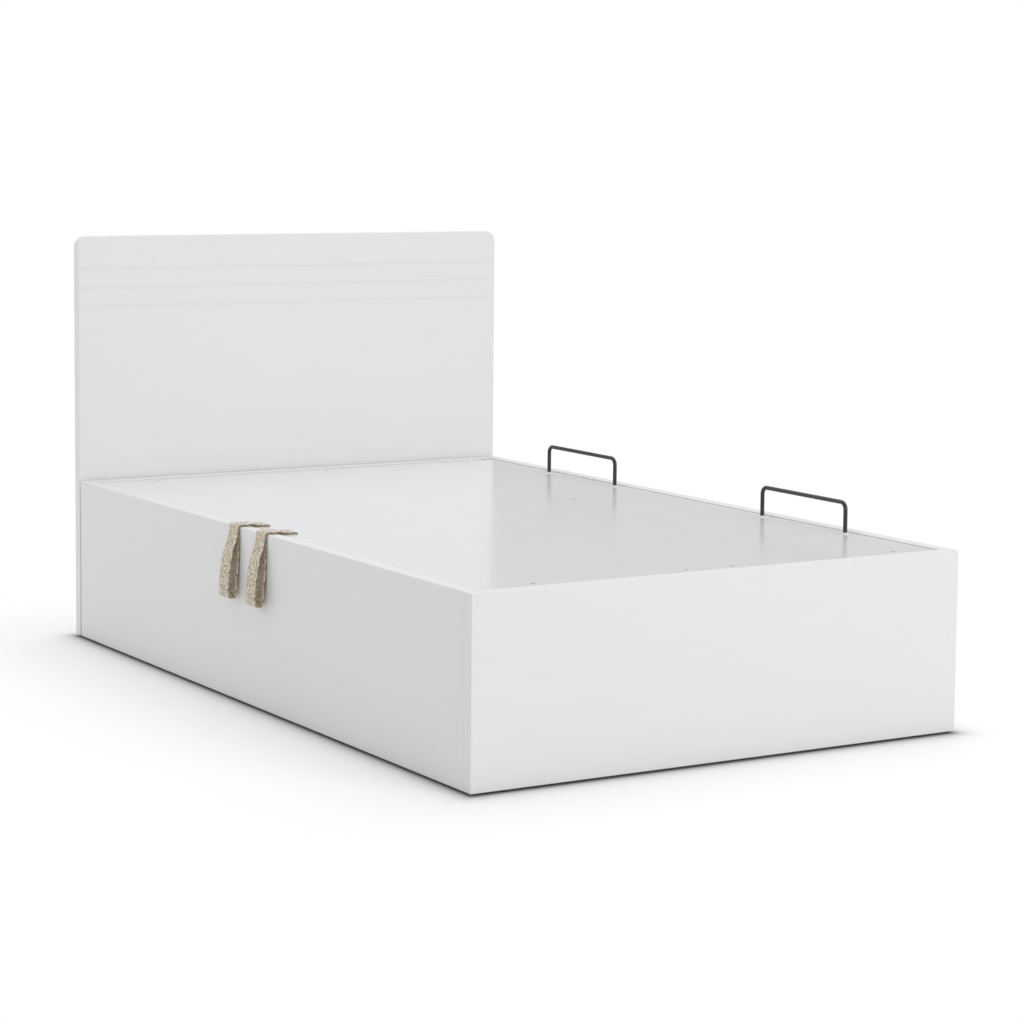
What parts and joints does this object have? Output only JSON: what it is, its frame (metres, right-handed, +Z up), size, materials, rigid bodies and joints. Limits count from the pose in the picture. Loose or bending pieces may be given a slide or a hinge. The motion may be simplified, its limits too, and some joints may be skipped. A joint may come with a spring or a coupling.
{
  "type": "ottoman bed",
  "caption": "Side-opening storage bed: white panelled box and grooved headboard, hinged lid on gas struts with webbing pull loops and rod mattress retainers.",
  "frame": {"origin": "on the floor under the middle foot of the centre beam, at the middle of the storage box", "axes": "+X towards the hinge side, +Y towards the headboard, +Z up"},
  "size_m": [1.2922, 2.068, 1.055],
  "materials": {
    "white_board": "white satin foil with a fine wood grain",
    "headboard_white": "white satin foil with a fine wood grain",
    "lid_white": "smooth semi-gloss white board",
    "floor_board": "white hardboard",
    "white_plastic": "white extruded strip",
    "raw_wood": "sanded softwood",
    "dark_plastic": "moulded black",
    "rubber_pad": "soft black rubber",
    "frame_steel": "dark grey powder coat",
    "hinge_steel": "black powder coat",
    "zinc_steel": "zinc-plated",
    "screw_steel": "plated screw heads",
    "washer_plastic": "natural nylon",
    "retainer_black": "satin black powder coat",
    "strut_black": "satin black paint",
    "strut_end_fitting": "plated steel eye",
    "strut_chrome": "polished hard chrome",
    "webbing": "beige ribbed webbing"
  },
  "bodies": {
    "bed_base": {"beam_feet": "dark_plastic", "bracket_screws": "zinc_steel", "centre_beam": "raw_wood", "corner_brackets": "zinc_steel", "end_batten_foot": "raw_wood", "end_batten_head": "raw_wood", "floor_board_left": "floor_board", "floor_board_right": "floor_board", "floor_glides": "dark_plastic", "floor_strip": "white_plastic", "foot_board": "white_board", "head_end_board": "white_board", "headboard": "headboard_white", "headboard_bolts": "zinc_steel", "headboard_spacers": "dark_plastic", "hinge_base_bolts": "zinc_steel", "hinge_base_foot": "hinge_steel", "hinge_base_head": "hinge_steel", "hinge_pin_foot": "zinc_steel", "hinge_pin_head": "zinc_steel", "hinge_washers": "washer_plastic", "lid_rest_pads": "rubber_pad", "lid_rests": "raw_wood", "side_batten_left": "raw_wood", "side_batten_right": "raw_wood", "side_board_left": "white_board", "side_board_right": "white_board", "strut_low_studs": "zinc_steel"},
    "lid": {"lid_arm_bolts": "zinc_steel", "lid_arm_foot": "hinge_steel", "lid_arm_head": "hinge_steel", "lid_board_left": "lid_white", "lid_board_right": "lid_white", "lid_cross_tubes": "frame_steel", "lid_end_tube_foot": "frame_steel", "lid_end_tube_head": "frame_steel", "lid_rail_left": "frame_steel", "lid_rail_right": "frame_steel", "lid_screws": "screw_steel", "lid_spine_tubes": "frame_steel", "pull_strap_foot": "webbing", "pull_strap_head": "webbing", "retainer_foot": "retainer_black", "retainer_head": "retainer_black", "retainer_screws": "screw_steel", "retainer_sockets": "zinc_steel", "strap_anchor_screws": "zinc_steel", "strap_anchors": "zinc_steel", "strut_high_studs": "zinc_steel"},
    "strut_cylinder_foot": {"strut_low_eye_foot": "strut_end_fitting", "strut_cylinder_foot": "strut_black"},
    "strut_cylinder_head": {"strut_low_eye_head": "strut_end_fitting", "strut_cylinder_head": "strut_black"},
    "strut_rod_foot": {"strut_rod_foot": "strut_chrome", "strut_high_eye_foot": "strut_end_fitting"},
    "strut_rod_head": {"strut_rod_head": "strut_chrome", "strut_high_eye_head": "strut_end_fitting"},
    "pull_loop_foot": {"pull_loop_foot": "webbing"},
    "pull_loop_head": {"pull_loop_head": "webbing"}
  },
  "joints": [
    {"name": "lid_hinge", "type": "hinge", "parent": "bed_base", "child": "lid", "pos_m": [0.58, 0, 0.403], "axis": [0, 1, 0], "range_deg": [0, 40]},
    {"name": "strut_swing_foot", "type": "hinge", "parent": "bed_base", "child": "strut_cylinder_foot", "pos_m": [0.53, -0.9655, 0.19], "axis": [0, 1, 0], "range_deg": [0, 18.4]},
    {"name": "strut_slide_foot", "type": "slide", "parent": "strut_cylinder_foot", "child": "strut_rod_foot", "axis": [-0.6704, 0, 0.742], "range_m": [0, 0.1125]},
    {"name": "pull_swing_foot", "type": "hinge", "parent": "lid", "child": "pull_loop_foot", "pos_m": [-0.6274, -0.065, 0.4124], "axis": [0, 1, 0], "range_deg": [-30.1, 0]},
    {"name": "strut_swing_head", "type": "hinge", "parent": "bed_base", "child": "strut_cylinder_head", "pos_m": [0.53, 0.9655, 0.19], "axis": [0, 1, 0], "range_deg": [0, 18.4]},
    {"name": "strut_slide_head", "type": "slide", "parent": "strut_cylinder_head", "child": "strut_rod_head", "axis": [-0.6704, 0, 0.742], "range_m": [0, 0.1125]},
    {"name": "pull_swing_head", "type": "hinge", "parent": "lid", "child": "pull_loop_head", "pos_m": [-0.6274, 0.077, 0.4124], "axis": [0, 1, 0], "range_deg": [-30.1, 0]}
  ],
  "couplings": [
    {"joint": "strut_swing_foot", "follows": "lid_hinge", "ratio": 0.458},
    {"joint": "strut_slide_foot", "follows": "lid_hinge", "m_per_rad": 0.1606},
    {"joint": "pull_swing_foot", "follows": "lid_hinge", "ratio": -0.75},
    {"joint": "strut_swing_head", "follows": "lid_hinge", "ratio": 0.458},
    {"joint": "strut_slide_head", "follows": "lid_hinge", "m_per_rad": 0.1606},
    {"joint": "pull_swing_head", "follows": "lid_hinge", "ratio": -0.75}
  ]
}
